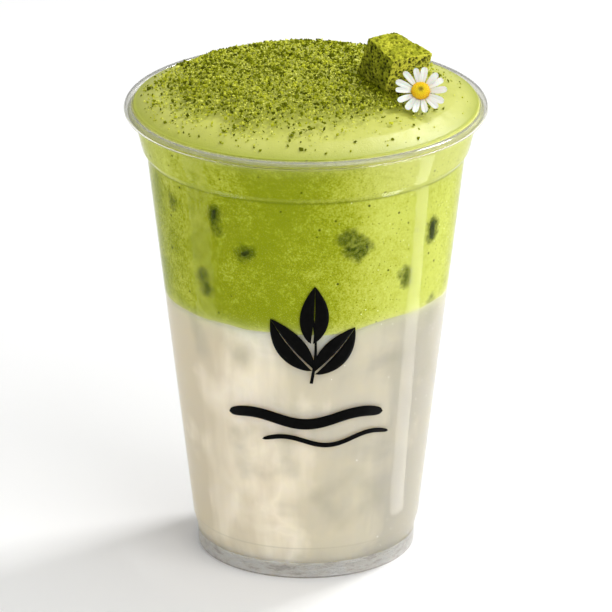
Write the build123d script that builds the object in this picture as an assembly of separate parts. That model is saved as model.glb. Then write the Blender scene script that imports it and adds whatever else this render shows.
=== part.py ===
from build123d import *

import math
import os
import random

# An iced matcha latte in a clear cold cup, in millimetres.
# Origin: centre of the foot, on the plane the cup stands on. +Z is up, and -Y is the cup's front.

# ---- Cup -----------------------------------------------------------------------------------
CUP_HEIGHT = 127.0        # foot to the top of the rim
RIM_RADIUS = 49.0         # outermost radius of the rolled rim
WALL = 0.6                # wall thickness
FLOOR_TOP = 3.8           # inside floor above the table
FLOOR_THICKNESS = 0.7

FOOT_RADIUS = 29.5        # outside of the foot
FOOT_RING_WIDTH = 2.0     # radial width of the ring that the cup stands on
FOOT_ROUNDING = 0.9
HEEL_LOW_Z = 5.6          # the stacking step runs from here ...
HEEL_LOW_RADIUS = 29.75
HEEL_TOP_Z = 9.6          # ... to here, where the straight taper begins
HEEL_TOP_RADIUS = 30.85
FLOOR_CORNER_ROUNDING = 1.2

BEAD_WIDTH = 2.45         # the rolled rim stands out this far from the neck
BEAD_HEIGHT = 2.5
BEAD_ROUNDING = 1.1
NECK_HEIGHT = 11.8        # top of the rim down to the shoulder
NECK_FLARE = 2.3          # how much the neck widens from the shoulder to the rolled rim
SHOULDER_OUT = 1.25       # the shoulder steps out this far from the straight taper ...
SHOULDER_RISE = 1.7       # ... over this height
CREASE_ROUNDING = 0.8

# ---- Contents ------------------------------------------------------------------------------
MILK_LEVEL = 74.0         # where the milk ends and the matcha foam begins
FOAM_EDGE_DROP = 0.2      # the foam meets the wall this far below the top of the rim
DOME_HEIGHT = 10.6        # crown of the foam above its edge
DOME_FULLNESS = 2.5       # exponent of the crown: 2 is a parabola, more is flatter on top
DOME_POINTS = 9           # points on the crown's outline

# ---- Sponge cake cube ----------------------------------------------------------------------
CAKE_WIDTH = 13.6         # along the face that the daisy leans on
CAKE_DEPTH = 12.0
CAKE_HEIGHT = 13.0
CAKE_BACK_CUT = 3.9       # its back is this much narrower, where the knife went askew
CAKE_ROUNDING = 0.5
CAKE_FROM_AXIS = 23.2     # centre of its base, measured from the cup's axis
CAKE_BEARING = -14.4      # and round it, in degrees from +X
CAKE_SINK = 1.6           # how far the centre of its base lies below the crown
CAKE_TILT = 18.7          # its lean from upright, in degrees ...
CAKE_LEAN_BEARING = -49.4  # ... and the way it leans
CAKE_TURN = 36.7          # bearing of the edges along its width

# ---- Daisy ---------------------------------------------------------------------------------
PETALS = 14
PETAL_ROOT = 2.1          # centre of the flower to where the petals begin
PETAL_LENGTH = 5.4        # longest petal, root to tip
PETAL_CUPPING = 14.0      # how far the petals rise towards their tips, in degrees ...
PETAL_STAGGER = 4.0       # ... and how much less every other one rises, tucked under the rest
PETAL_WIDTH = 1.95
PETAL_THICKNESS = 0.35
PETAL_SPREAD = 0.09       # shortest petal is this share shorter than the longest
PETAL_SEED = 5
DISC_RADIUS = 2.6         # the yellow button
DISC_HEIGHT = 1.4
DISC_ROUNDING = 1.2
CALYX_RADIUS = 2.0
CALYX_HEIGHT = 1.4
STEM_RADIUS = 0.55
STEM_LENGTH = 6.5         # from the bottom of the calyx to the cut end, in the foam
DAISY_PITCH = 48.0        # how far the flower's face looks up, in degrees above level
DAISY_BEARING = -90.0     # the way it faces
DAISY_OFF_CENTRE = -0.9   # its centre, along the cake's face, from the middle of the face
DAISY_CAKE_GAP = 0.15     # between the petal tips and the cake's face
DAISY_FOAM_GAP = 0.8      # between the petal tips and the foam
SETTLE_STEPS = 8
SETTLE_SAMPLES = 48

# ---- Values that follow from those ---------------------------------------------------------
BEAD_LOW_Z = CUP_HEIGHT - BEAD_HEIGHT
SHOULDER_TOP_Z = CUP_HEIGHT - NECK_HEIGHT
SHOULDER_LOW_Z = SHOULDER_TOP_Z - SHOULDER_RISE
NECK_TOP_RADIUS = RIM_RADIUS - BEAD_WIDTH
SHOULDER_TOP_RADIUS = NECK_TOP_RADIUS - NECK_FLARE
SHOULDER_LOW_RADIUS = SHOULDER_TOP_RADIUS - SHOULDER_OUT
FOAM_EDGE_Z = CUP_HEIGHT - FOAM_EDGE_DROP
UNDER_FLOOR_Z = FLOOR_TOP - FLOOR_THICKNESS
NECK_SLOPE = (NECK_TOP_RADIUS - SHOULDER_TOP_RADIUS) / (BEAD_LOW_Z - SHOULDER_TOP_Z)
RIM_INSIDE_RADIUS = NECK_TOP_RADIUS + NECK_SLOPE * BEAD_HEIGHT - WALL
FLOOR_RADIUS = (
    FOOT_RADIUS + (HEEL_LOW_RADIUS - FOOT_RADIUS) * FLOOR_TOP / HEEL_LOW_Z - WALL
)

# The inside of the wall from the floor to the rim: radius, height, rounding of the corner.
INSIDE = [
    (FLOOR_RADIUS, FLOOR_TOP, FLOOR_CORNER_ROUNDING),
    (HEEL_LOW_RADIUS - WALL, HEEL_LOW_Z, 0),
    (HEEL_TOP_RADIUS - WALL, HEEL_TOP_Z, CREASE_ROUNDING),
    (SHOULDER_LOW_RADIUS - WALL, SHOULDER_LOW_Z, CREASE_ROUNDING),
    (SHOULDER_TOP_RADIUS - WALL, SHOULDER_TOP_Z, CREASE_ROUNDING),
    (RIM_INSIDE_RADIUS, CUP_HEIGHT, 0),
]

# The outside, from the middle of the underside to the rim.
OUTSIDE = [
    (0, UNDER_FLOOR_Z, 0),
    (FOOT_RADIUS - FOOT_RING_WIDTH, UNDER_FLOOR_Z, 0),
    (FOOT_RADIUS - FOOT_RING_WIDTH, 0, 0),
    (FOOT_RADIUS, 0, FOOT_ROUNDING),
    (HEEL_LOW_RADIUS, HEEL_LOW_Z, 0),
    (HEEL_TOP_RADIUS, HEEL_TOP_Z, CREASE_ROUNDING),
    (SHOULDER_LOW_RADIUS, SHOULDER_LOW_Z, CREASE_ROUNDING),
    (SHOULDER_TOP_RADIUS, SHOULDER_TOP_Z, CREASE_ROUNDING),
    (NECK_TOP_RADIUS, BEAD_LOW_Z, 0),
    (RIM_RADIUS, BEAD_LOW_Z, BEAD_ROUNDING),
    (RIM_RADIUS, CUP_HEIGHT, BEAD_ROUNDING),
]


def inside_radius(z):
    """Radius of the inside of the wall at a height, without the corners' rounding."""
    for (r0, z0, _), (r1, z1, _) in zip(INSIDE, INSIDE[1:]):
        if z <= z1:
            return r0 + (r1 - r0) * (z - z0) / (z1 - z0)
    return INSIDE[-1][0]


def turned(outline):
    """Solid of revolution about Z from a closed wire in the XZ plane."""
    return revolve(make_face(outline), Axis.Z)


def rounded(corners):
    """Closed wire in the XZ plane through corners of (radius, height, rounding)."""
    points = [(r, 0, z) for r, z, _ in corners]
    return FilletPolyline(*points, radius=[c for _, _, c in corners], close=True)


def dome_height(radius):
    """Height of the foam's crown at a distance from the axis."""
    share = min(radius / inside_radius(FOAM_EDGE_Z), 1)
    return FOAM_EDGE_Z + DOME_HEIGHT * (1 - share**DOME_FULLNESS)


def cup():
    return turned(rounded(OUTSIDE + INSIDE[::-1] + [(0, FLOOR_TOP, 0)]))


def milk():
    below = [corner for corner in INSIDE if corner[1] < MILK_LEVEL]
    level = [(inside_radius(MILK_LEVEL), MILK_LEVEL, 0), (0, MILK_LEVEL, 0)]
    return turned(rounded([(0, FLOOR_TOP, 0)] + below + level))


def foam_body():
    """The foam from the milk up to its edge at the wall."""
    beside = [corner for corner in INSIDE if MILK_LEVEL < corner[1] < FOAM_EDGE_Z]
    low = [(0, MILK_LEVEL, 0), (inside_radius(MILK_LEVEL), MILK_LEVEL, 0)]
    edge = [(inside_radius(FOAM_EDGE_Z), FOAM_EDGE_Z, 0), (0, FOAM_EDGE_Z, 0)]
    return turned(rounded(low + beside + edge))


def foam_crown():
    """The crown that stands above the edge."""
    edge_radius = inside_radius(FOAM_EDGE_Z)
    outline = []
    for i in range(DOME_POINTS):
        # steps that shorten towards the edge, where the crown curves most
        radius = edge_radius * math.sin(i / (DOME_POINTS - 1) * math.pi / 2)
        outline.append((radius, 0, dome_height(radius)))
    edge_slope = DOME_HEIGHT * DOME_FULLNESS / edge_radius
    crown = Spline(*outline, tangents=[(1, 0, 0), (1, 0, -edge_slope)])
    base = Polyline(outline[-1], (0, 0, FOAM_EDGE_Z), outline[0])
    return turned(Wire(crown.edges() + base.edges()))


def cake_plane():
    """Plane of the cake's base: x along its width, y away from the daisy, z up through it."""
    bearing = math.radians(CAKE_BEARING)
    tilt = math.radians(CAKE_TILT)
    lean = math.radians(CAKE_LEAN_BEARING)
    turn = math.radians(CAKE_TURN)
    origin = (
        CAKE_FROM_AXIS * math.cos(bearing),
        CAKE_FROM_AXIS * math.sin(bearing),
        dome_height(CAKE_FROM_AXIS) - CAKE_SINK,
    )
    up = (
        math.sin(tilt) * math.cos(lean),
        math.sin(tilt) * math.sin(lean),
        math.cos(tilt),
    )
    return Plane(origin, x_dir=(math.cos(turn), math.sin(turn), 0), z_dir=up)


def cake_cube():
    """The cube of sponge, square to the face that the daisy leans on and askew at its back."""
    right = CAKE_WIDTH / 2
    back = CAKE_DEPTH / 2
    plan = Polyline(
        (-right, -back), (right, -back), (right - CAKE_BACK_CUT, back), (-right, back), close=True
    )
    block = extrude(make_face(plan), CAKE_HEIGHT)
    return cake_plane() * fillet(block.edges(), CAKE_ROUNDING)


def daisy_plane():
    """Plane of the petals' roots. The flower leans on the cake and just clears the foam."""
    cake = cake_plane()
    pitch = math.radians(DAISY_PITCH)
    bearing = math.radians(DAISY_BEARING)
    facing = Vector(
        math.cos(pitch) * math.cos(bearing),
        math.cos(pitch) * math.sin(bearing),
        math.sin(pitch),
    )
    sideways = Vector(-math.sin(bearing), math.cos(bearing), 0)
    upward = facing.cross(sideways)
    # the petal tips lie on a circle of this radius, raised by this much
    tip_radius = PETAL_ROOT + PETAL_LENGTH * math.cos(math.radians(PETAL_CUPPING))
    tip_rise = PETAL_LENGTH * math.sin(math.radians(PETAL_CUPPING))
    # how far that circle comes towards the cake's face
    towards = facing.dot(cake.y_dir)
    reach = tip_radius * math.sqrt(1 - towards**2) + tip_rise * towards
    out = CAKE_DEPTH / 2 + DAISY_CAKE_GAP + PETAL_THICKNESS * abs(towards) + reach
    centre = cake.origin + cake.x_dir * DAISY_OFF_CENTRE - cake.y_dir * out
    # slide it along the cake's face until its lowest petal clears the foam
    for _ in range(SETTLE_STEPS):
        shortfalls = []
        for i in range(SETTLE_SAMPLES):
            angle = 2 * math.pi * i / SETTLE_SAMPLES
            across = sideways * math.cos(angle) + upward * math.sin(angle)
            tip = centre + across * tip_radius + facing * tip_rise
            crown = dome_height(math.hypot(tip.X, tip.Y))
            shortfalls.append(crown + DAISY_FOAM_GAP - tip.Z)
        centre += cake.z_dir * (max(shortfalls) / cake.z_dir.Z)
    return Plane(centre, x_dir=sideways, z_dir=facing)


def daisy_petals():
    """Ring of petals of uneven length that rise from the plate under the yellow disc."""
    uneven = random.Random(PETAL_SEED)
    ring = extrude(Circle(DISC_RADIUS), PETAL_THICKNESS)
    for i in range(PETALS):
        rise = PETAL_CUPPING - PETAL_STAGGER * (i % 2)
        length = PETAL_LENGTH * (1 - PETAL_SPREAD * uneven.random())
        outline = Pos(length / 2, 0) * Ellipse(length / 2, PETAL_WIDTH / 2)
        petal = extrude(outline, PETAL_THICKNESS)
        bearing = Rot(0, 0, i * 360 / PETALS)
        ring += bearing * Pos(PETAL_ROOT, 0, 0) * Rot(0, -rise, 0) * petal
    return daisy_plane() * ring


def daisy_centre(ring):
    """The yellow disc, a low button that sits down among the petals of the ring."""
    corners = [
        (0, PETAL_THICKNESS, 0),
        (DISC_RADIUS, PETAL_THICKNESS, 0),
        (DISC_RADIUS, PETAL_THICKNESS + DISC_HEIGHT, DISC_ROUNDING),
        (0, PETAL_THICKNESS + DISC_HEIGHT, 0),
    ]
    return daisy_plane() * turned(rounded(corners)) - ring


def daisy_calyx():
    """The green cup behind the petals, with a short cut stem pushed into the foam."""
    corners = [
        (0, 0, 0),
        (CALYX_RADIUS, 0, 0),
        (CALYX_RADIUS, -CALYX_HEIGHT / 2, 0),
        (STEM_RADIUS, -CALYX_HEIGHT, 0),
        (STEM_RADIUS, -CALYX_HEIGHT - STEM_LENGTH, 0),
        (0, -CALYX_HEIGHT - STEM_LENGTH, 0),
    ]
    return daisy_plane() * turned(rounded(corners))


def matcha_foam(sunk):
    """The foam layer and its crown, cut round what stands in it."""
    foam = foam_body() + foam_crown()
    for piece in sunk:
        foam -= piece
    return foam


cake = cake_cube()
calyx = daisy_calyx()
petals = daisy_petals()
pieces = {
    "cup": cup(),
    "milk": milk(),
    "matcha_foam": matcha_foam([cake, calyx]),
    "cake_cube": cake,
    "daisy_petals": petals,
    "daisy_centre": daisy_centre(petals),
    "daisy_calyx": calyx,
}

os.makedirs("parts", exist_ok=True)
for name, piece in pieces.items():
    export_step(piece, f"parts/{name}.step")
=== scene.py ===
import math
import random

import bmesh
import bpy
import numpy as np
from mathutils import Matrix, Vector, noise
from mathutils.bvhtree import BVHTree


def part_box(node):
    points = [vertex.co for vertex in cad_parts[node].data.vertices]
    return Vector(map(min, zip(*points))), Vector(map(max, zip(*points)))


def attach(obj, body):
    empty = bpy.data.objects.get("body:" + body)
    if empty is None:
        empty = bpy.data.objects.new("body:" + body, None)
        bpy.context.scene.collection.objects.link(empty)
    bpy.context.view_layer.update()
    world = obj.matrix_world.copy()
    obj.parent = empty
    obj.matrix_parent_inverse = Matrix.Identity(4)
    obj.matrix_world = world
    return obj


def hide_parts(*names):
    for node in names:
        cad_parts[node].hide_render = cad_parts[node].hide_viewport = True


# An iced matcha latte in a clear cold cup, dressed around its CAD frame.
# Everything is in metres in the frame's axes: +Z up, the cup's axis on Z, -Y the front.
# Bearings are degrees round the cup from its front, positive to the right.

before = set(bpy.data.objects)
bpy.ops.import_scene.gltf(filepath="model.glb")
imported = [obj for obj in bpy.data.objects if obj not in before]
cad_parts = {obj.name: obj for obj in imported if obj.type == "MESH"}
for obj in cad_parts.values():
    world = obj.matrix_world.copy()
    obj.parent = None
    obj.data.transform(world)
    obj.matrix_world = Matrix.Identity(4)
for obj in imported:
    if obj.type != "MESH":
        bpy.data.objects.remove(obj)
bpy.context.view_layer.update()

MM = 0.001

# ---- Camera and stage ----
CAMERA_DISTANCE = 2000 * MM      # from a point on the axis at this height ...
CAMERA_PIVOT = 60 * MM
CAMERA_ELEVATION = 21.3          # ... looking down by this much
CAMERA_TARGET = 68.1 * MM        # the height on the axis in the middle of the picture
CAMERA_LENS = 432.4              # on a 36 mm sensor
CAMERA_REACH = 50.0              # everything farther away than this is left out
FLOOR_SIZE = 12.0
WORLD_STRENGTH = 0.40
LAMP_AIM = 80 * MM               # the height on the cup's axis that most lamps face
STRIP_AIM = 84.5 * MM
STRIP_DISTANCE = 81.7 * MM

# ---- Cup ----
CURL_RADIUS = 1.25 * MM          # outside radius of the rolled rim
CURL_SHEET = 0.42 * MM           # the wall thins to this in the roll
CURL_START = 166                 # the roll runs from this angle of its circle ...
CURL_END = -140                  # ... over the top to this one
FOOT_ROUNDING = 0.4 * MM
CUP_SEGMENTS = 288
INSIDE_ANGLE = 0.3               # degrees off the CAD seam at which its outline is read
OUTLINE_STEP = 0.1 * MM
OUTLINE_TOLERANCE = 0.004 * MM
OUTLINE_LONGEST = 4 * MM

# ---- Contents ----
BITE = 0.18 * MM                 # how far the contents reach into the wall
MILK_SEGMENTS = 320
MILK_ROW = 0.8 * MM
FOAM_SEGMENTS = 432
FOAM_ROW = 0.62 * MM
FOAM_EDGE_DROP = 0.6 * MM        # the foam leaves the wall this far below the rim
DOME_ROWS = 118
DOME_CROWDING = 1.15             # rows lie closer together at the dome's edge
DOME_SAMPLES = 240
DOME_SHARE = 0.9875              # the CAD crown is read out to this share of the wall's radius
DOME_BLUR = 1.2 * MM             # smooths the facets of the CAD crown
ICE_ROUNDING = 2.0 * MM
SMALL_ICE = 10 * MM              # cubes with a longer edge get painted shade only near their border, leaving a lighter middle
DEEP_BEARING = -5                # where the foam at the wall is darkest green, degrees from the front ...
DEEP_SPREAD = (92, 30)           # ... and how far round it fades out to the left and right
DEEP_NECK = 38                   # it reaches this much less far to the left under the rim
BOUNDARY_LIFT = 0.6 * MM         # the line between milk and foam lies this much over the CAD one,
BOUNDARY_WAVE = 1.0 * MM         # wanders by this much ...
BOUNDARY_SWELL = 2.3 * MM        # ... and is pushed up by this much ...
SWELL_BEARING = 58               # ... at this bearing ...
SWELL_SPREAD = 32                # ... over this many degrees

# ---- Powder ----
DUST_CENTRE = (-3.0 * MM, -0.5 * MM)
DUST_RADII = (40 * MM, 36 * MM)
DUST_RELIEF = 0.24 * MM          # how much the powder's bed stands up
SMALL_GRAINS = 11500
SMALL_RADII = (0.16, 0.33)       # millimetres
LARGE_GRAINS = 2400
LARGE_RADII = (0.32, 0.60)

# ---- Cake ----
CAKE_VOXEL = 0.2 * MM
CAKE_SETTLING = 0.10             # the sponge has sagged to be this much wider at its foot
LARGE_PORES = 1.15 * MM          # how far apart the pores lie ...
SMALL_PORES = 0.62 * MM
LARGE_PORE_DEPTH = 0.50 * MM     # ... and how deep they are
SMALL_PORE_DEPTH = 0.24 * MM
SHADED_BEARING = -55             # painted shade goes on the side that faces here ...
LIT_BEARING = 35               # ... and painted light on the side that faces here

# ---- Daisy ----
PETALS = 14
PETAL_LENGTH = 5.3 * MM
PETAL_WIDTH = 1.85 * MM
PETAL_ROOT = 1.9 * MM
PETAL_SHEET = 0.16 * MM
PETAL_STAGGER = 0.12 * MM        # every other petal lies this much higher
BUTTON_RADIUS = 2.62 * MM
BUTTON_HEIGHT = 1.45 * MM
BUTTON_BASE = 0.35 * MM
FLORETS = 130
CALYX_RADIUS = 2.0 * MM
CALYX_HEIGHT = 1.4 * MM
STEM_RADIUS = 0.55 * MM

# ---- Print ----
INK_STAND = 0.02 * MM            # the middle of the ink's sheet stands this far off the wall
INK_SHEET = 0.05 * MM
SPRIG_ACROSS = 1.4 * MM          # where the sprig stands, along the wall from the front
SPRIG_FOOT = 60 * MM
SPRIG_HEIGHT = 22 * MM
LEAF_WIDTH = 7.5 * MM

# Where each leaf starts and ends, (across, up) from the sprig's foot, and its bend, in millimetres.
LEAVES = [
    ((0.2, 12), (1.0, 29), 0.3),
    ((0.4, 4), (-11, 19), -0.8),
    ((0.8, 3), (12, 16), 0.8),
]

# Height, width, left end and right end of each stripe, in millimetres.
STRIPES = [
    (49.0, 3.2, -22, 22),
    (42.5, 1.4, -12, 24),
]


# ---- Reading the frame ----

def tree_of(node):
    """Ray-castable copy of a CAD node's mesh."""
    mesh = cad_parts[node].data
    return BVHTree.FromPolygons([v.co for v in mesh.vertices], [p.vertices for p in mesh.polygons])


def bearing_vector(degrees):
    """Horizontal unit vector at a bearing from the cup's front."""
    angle = math.radians(degrees)
    return Vector((math.sin(angle), -math.cos(angle), 0))


CUP_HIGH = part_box("cup")[1]
FOAM_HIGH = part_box("matcha_foam")[1]
MILK_LOW, MILK_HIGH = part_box("milk")
MILK_LEVEL = MILK_HIGH.z
RIM_TOP = CUP_HIGH.z
RIM_RADIUS = CUP_HIGH.x
cup_tree = tree_of("cup")
foam_tree = tree_of("matcha_foam")


def wall_inside(z):
    """Radius of the inside of the cup's wall at a height."""
    hit = cup_tree.ray_cast(Vector((0, 0, z)), bearing_vector(90 + INSIDE_ANGLE))[0]
    return math.hypot(hit.x, hit.y)


def wall_outside(z):
    """Radius of the outside of the cup at a height."""
    direction = bearing_vector(90 + INSIDE_ANGLE)
    start = direction * (RIM_RADIUS * 2) + Vector((0, 0, z))
    hit = cup_tree.ray_cast(start, -direction)[0]
    return math.hypot(hit.x, hit.y)


def dome_profile():
    """Radii and heights of the foam's crown, read where nothing is sunk into it, and smoothed."""
    away = bearing_vector(-90)
    radii = np.linspace(0, wall_inside(RIM_TOP - 0.3 * MM) * DOME_SHARE, DOME_SAMPLES)
    heights = []
    for radius in radii:
        start = away * radius + Vector((0, 0, FOAM_HIGH.z + 10 * MM))
        hit = foam_tree.ray_cast(start, Vector((0, 0, -1)))[0]
        heights.append(hit.z)
    # the CAD mesh is faceted: blur it, mirrored about the axis and turned about the edge
    heights = np.array(heights)
    reach = int(DOME_BLUR * 3 / (radii[1] - radii[0]))
    kernel = np.exp(-0.5 * (np.arange(-reach, reach + 1) / reach * 3) ** 2)
    mirrored = heights[reach:0:-1]
    turned = 2 * heights[-1] - heights[-2:-reach - 2:-1]
    padded = np.concatenate([mirrored, heights, turned])
    return radii, np.convolve(padded, kernel / kernel.sum(), "valid")


DOME_RADII, DOME_HEIGHTS = dome_profile()


def dome_z(x, y):
    """Height of the smooth crown, for numbers or arrays."""
    return np.interp(np.hypot(x, y), DOME_RADII, DOME_HEIGHTS)


# ---- Mesh helpers ----

def scene_object(name, data):
    """A new object in the scene that shows a mesh, a lamp or a camera."""
    made = bpy.data.objects.new(name, data)
    bpy.context.scene.collection.objects.link(made)
    return made


def aim(holder, direction):
    """Turns a lamp or a camera to look in a direction."""
    holder.rotation_mode = "QUATERNION"
    holder.rotation_quaternion = direction.to_track_quat("-Z", "Y")


def mesh_object(name, vertices, faces, looks, smooth=True):
    """A piece of the object from vertices and faces, riding on the cup's one body."""
    mesh = bpy.data.meshes.new(name)
    mesh.from_pydata([tuple(v) for v in vertices], [], [tuple(f) for f in faces])
    mesh.validate()
    if smooth:
        mesh.shade_smooth()
    else:
        mesh.shade_flat()
    for material in looks:
        mesh.materials.append(material)
    piece = scene_object(name, mesh)
    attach(piece, "root")
    return piece


def set_attribute(piece, name, values):
    """A number for each vertex that the piece's material reads."""
    attribute = piece.data.attributes.new(name, "FLOAT", "POINT")
    attribute.data.foreach_set("value", np.asarray(values, np.float32))


def segment_angles(count):
    """Angles from +X of the segments of a turned grid, which start at the front."""
    return np.arange(count) * 2 * np.pi / count - np.pi / 2


def turned_grid(rings, segments):
    """Vertices and faces of a skin turned about Z.

    rings is a list of (radii, heights), each one number or one for every segment. A first or
    last ring of radius 0 becomes a single point."""
    angles = np.arange(segments) * 2 * np.pi / segments
    rows, vertices = [], []
    for radii, heights in rings:
        if np.ndim(radii) == 0 and radii == 0:
            rows.append([len(vertices)])
            vertices.append((0.0, 0.0, float(np.mean(heights))))
            continue
        rows.append(list(range(len(vertices), len(vertices) + segments)))
        vertices.extend(zip(radii * np.sin(angles), -radii * np.cos(angles), heights * np.ones(segments)))
    faces = []
    for low, high in zip(rows, rows[1:]):
        for j in range(segments):
            k = (j + 1) % segments
            corners = low[j % len(low)], low[k % len(low)], high[k % len(high)], high[j % len(high)]
            faces.append(tuple(dict.fromkeys(corners)))
    return np.array(vertices), faces


def grid_quads(rows, columns, start=0):
    """Faces of a grid whose points run along each row in turn from a starting number."""
    for r in range(rows - 1):
        for c in range(columns - 1):
            a = start + r * columns + c
            yield a, a + columns, a + columns + 1, a + 1


def thinned(outline, tolerance, longest):
    """The points of an outline that matter: those off the straight, and some along it."""
    kept = [outline[0]]
    i = 0
    while i < len(outline) - 1:
        j = i + 1
        while j + 1 < len(outline):
            a, b = np.array(outline[i]), np.array(outline[j + 1])
            span = b - a
            length = np.hypot(*span)
            if length > longest:
                break
            between = np.array(outline[i + 1:j + 1]) - a
            off = np.abs(between[:, 0] * span[1] - between[:, 1] * span[0]) / length
            if off.max() > tolerance:
                break
            j += 1
        kept.append(outline[j])
        i = j
    return kept


def fractal(x, y, z, size, octaves=3):
    """Smooth noise from about -1 to 1 at each point, with features of a given size."""
    points = zip(np.ravel(x) / size, np.ravel(y) / size, np.ravel(z) / size)
    values = [noise.fractal(Vector(p), 1.0, 2.0, octaves) for p in points]
    return np.array(values).reshape(np.shape(x))


def smoothstep(low, high, value):
    """0 up to low, 1 from high on, and a smooth rise between."""
    t = np.clip((value - low) / (high - low), 0, 1)
    return t * t * (3 - 2 * t)


# ---- Materials ----

class Look:
    """A Principled material with short helpers to wire textures into it."""

    def __init__(self, name, **sockets):
        self.material = bpy.data.materials.new(name)
        self.material.use_nodes = True
        self.tree = self.material.node_tree
        self.shader = self.tree.nodes["Principled BSDF"]
        self.place = self.tree.nodes.new("ShaderNodeTexCoord").outputs["Object"]
        for socket, value in sockets.items():
            self.shader.inputs[socket.replace("_", " ")].default_value = value

    def plug(self, socket, value):
        """Gives a socket a value: another node's socket, a number or a colour."""
        if isinstance(value, bpy.types.NodeSocket):
            self.tree.links.new(value, socket)
        else:
            socket.default_value = value

    def node(self, kind, inputs=(), **settings):
        made = self.tree.nodes.new(kind)
        for key, value in settings.items():
            setattr(made, key, value)
        for key, value in dict(inputs).items():
            self.plug(made.inputs[key], value)
        return made

    def noise(self, size, detail=3.0, roughness=0.5, distortion=0.0, place=None):
        """Cloudy noise with features of a size in metres."""
        inputs = {"Vector": place or self.place, "Scale": 1 / size, "Detail": detail,
                  "Roughness": roughness, "Distortion": distortion}
        return self.node("ShaderNodeTexNoise", inputs).outputs["Fac"]

    def waver(self, amount, size, low=0.3, high=0.7, **settings):
        """The same noise, running from minus to plus an amount."""
        return self.step(self.noise(size, **settings), low, high, -amount, amount)

    def cells(self, size):
        """Distance to scattered points about a size apart, with a colour for each."""
        return self.node("ShaderNodeTexVoronoi", {"Vector": self.place, "Scale": 1 / size})

    def stretched(self, upright):
        """The place with heights scaled, for textures drawn out along Z."""
        inputs = {"Vector": self.place, "Scale": (1, 1, upright)}
        return self.node("ShaderNodeMapping", inputs).outputs[0]

    def line(self, height, width, strength=1.0):
        """A strength at a height, fading to 0 at a width above and below it."""
        z = self.node("ShaderNodeSeparateXYZ", {0: self.place}).outputs["Z"]
        away = self.math("ABSOLUTE", self.math("SUBTRACT", z, height), 0.0)
        return self.step(away, 0.0, width, strength, 0.0)

    def attribute(self, name):
        """A number that set_attribute gave each vertex."""
        return self.node("ShaderNodeAttribute", attribute_name=name).outputs["Fac"]

    def ramp(self, factor, *stops):
        """Colours at positions along a factor."""
        made = self.node("ShaderNodeValToRGB", {"Fac": factor})
        elements = made.color_ramp.elements
        while len(elements) < len(stops):
            elements.new(0.5)
        for element, (position, colour) in zip(elements, stops):
            element.position = position
            element.color = (*colour, 1)
        return made.outputs["Color"]

    def step(self, factor, low, high, bottom=0.0, top=1.0):
        """Factor remapped from low..high to bottom..top, clamped."""
        inputs = {"Value": factor, "From Min": low, "From Max": high, "To Min": bottom, "To Max": top}
        return self.node("ShaderNodeMapRange", inputs).outputs["Result"]

    def math(self, operation, a, b):
        return self.node("ShaderNodeMath", {0: a, 1: b}, operation=operation).outputs["Value"]

    def add(self, first, *others):
        """The sum of two or more numbers."""
        rest = self.add(*others) if len(others) > 1 else others[0]
        return self.math("ADD", first, rest)

    def mix(self, factor, a, b):
        """Colour b over colour a by a factor."""
        made = self.node("ShaderNodeMix", data_type="RGBA")
        for socket, value in zip((made.inputs[0], made.inputs[6], made.inputs[7]), (factor, a, b)):
            self.plug(socket, (*value, 1) if isinstance(value, tuple) else value)
        return made.outputs[2]

    def specks(self, colour, size, dot, share, ink):
        """A colour with small dots of ink scattered over it, in a share of cells of a size."""
        cells = self.cells(size)
        inside = self.math("LESS_THAN", cells.outputs["Distance"], dot / size)
        some = self.math("LESS_THAN", cells.outputs["Color"], share)
        return self.mix(self.math("MULTIPLY", inside, some), colour, ink)

    def bump(self, height, depth, strength=1.0):
        """Bump of a depth in metres where the height runs from 0 to 1."""
        inputs = {"Height": height, "Distance": depth, "Strength": strength}
        self.plug(self.shader.inputs["Normal"], self.node("ShaderNodeBump", inputs).outputs["Normal"])

    def finished(self, colour, *bump):
        """The material with its colour and, where they are given, its bump's height and depth."""
        self.plug(self.shader.inputs["Base Color"], colour)
        if bump:
            self.bump(*bump)
        return self.material

    def let_lamps_through(self):
        """Shadow rays pass straight through, so that lamps light what is behind."""
        output = next(n for n in self.tree.nodes if n.type == "OUTPUT_MATERIAL")
        clear = self.node("ShaderNodeBsdfTransparent")
        shadow = self.node("ShaderNodeLightPath").outputs["Is Shadow Ray"]
        inputs = {0: shadow, 1: self.shader.outputs[0], 2: clear.outputs[0]}
        mixed = self.node("ShaderNodeMixShader", inputs)
        self.plug(output.inputs["Surface"], mixed.outputs[0])


def plastic(name, colour, roughness, index, transmission, waves, depth, strength=1.0):
    """Clear PET, made a little uneven by moulding: waves of a size and depth."""
    look = Look(name, Base_Color=(*colour, 1), Roughness=roughness, IOR=index,
                Transmission_Weight=transmission)
    look.bump(look.noise(waves, detail=1.0), depth, strength)
    look.let_lamps_through()
    return look.material


def heel_plastic():
    """The thick clear foot, rippled by moulding so that it breaks up what shows through; its colour is
    painted reflection in light and dark patches along the ripples, with painted shade along its bottom
    edge.
    """
    look = Look("heel_plastic", Roughness=0.05, IOR=1.4, Transmission_Weight=0.56)
    ripples = look.noise(5 * MM, detail=5.0, roughness=0.7, place=look.stretched(3.5))
    # painted reflection: light and dark patches along the ripples stand in for what the foot shows
    # through it
    colour = look.ramp(
        ripples,
        (0.36, (0.66, 0.64, 0.59)),
        (0.47, (0.96, 0.93, 0.86)),
        (0.58, (1.0, 1.0, 0.98)),
    )
    # painted shade along the foot's bottom edge
    colour = look.mix(look.line(0.45 * MM, 0.4 * MM), colour, (0.42, 0.39, 0.34))
    look.let_lamps_through()
    return look.finished(colour, ripples, 2.5 * MM)


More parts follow.
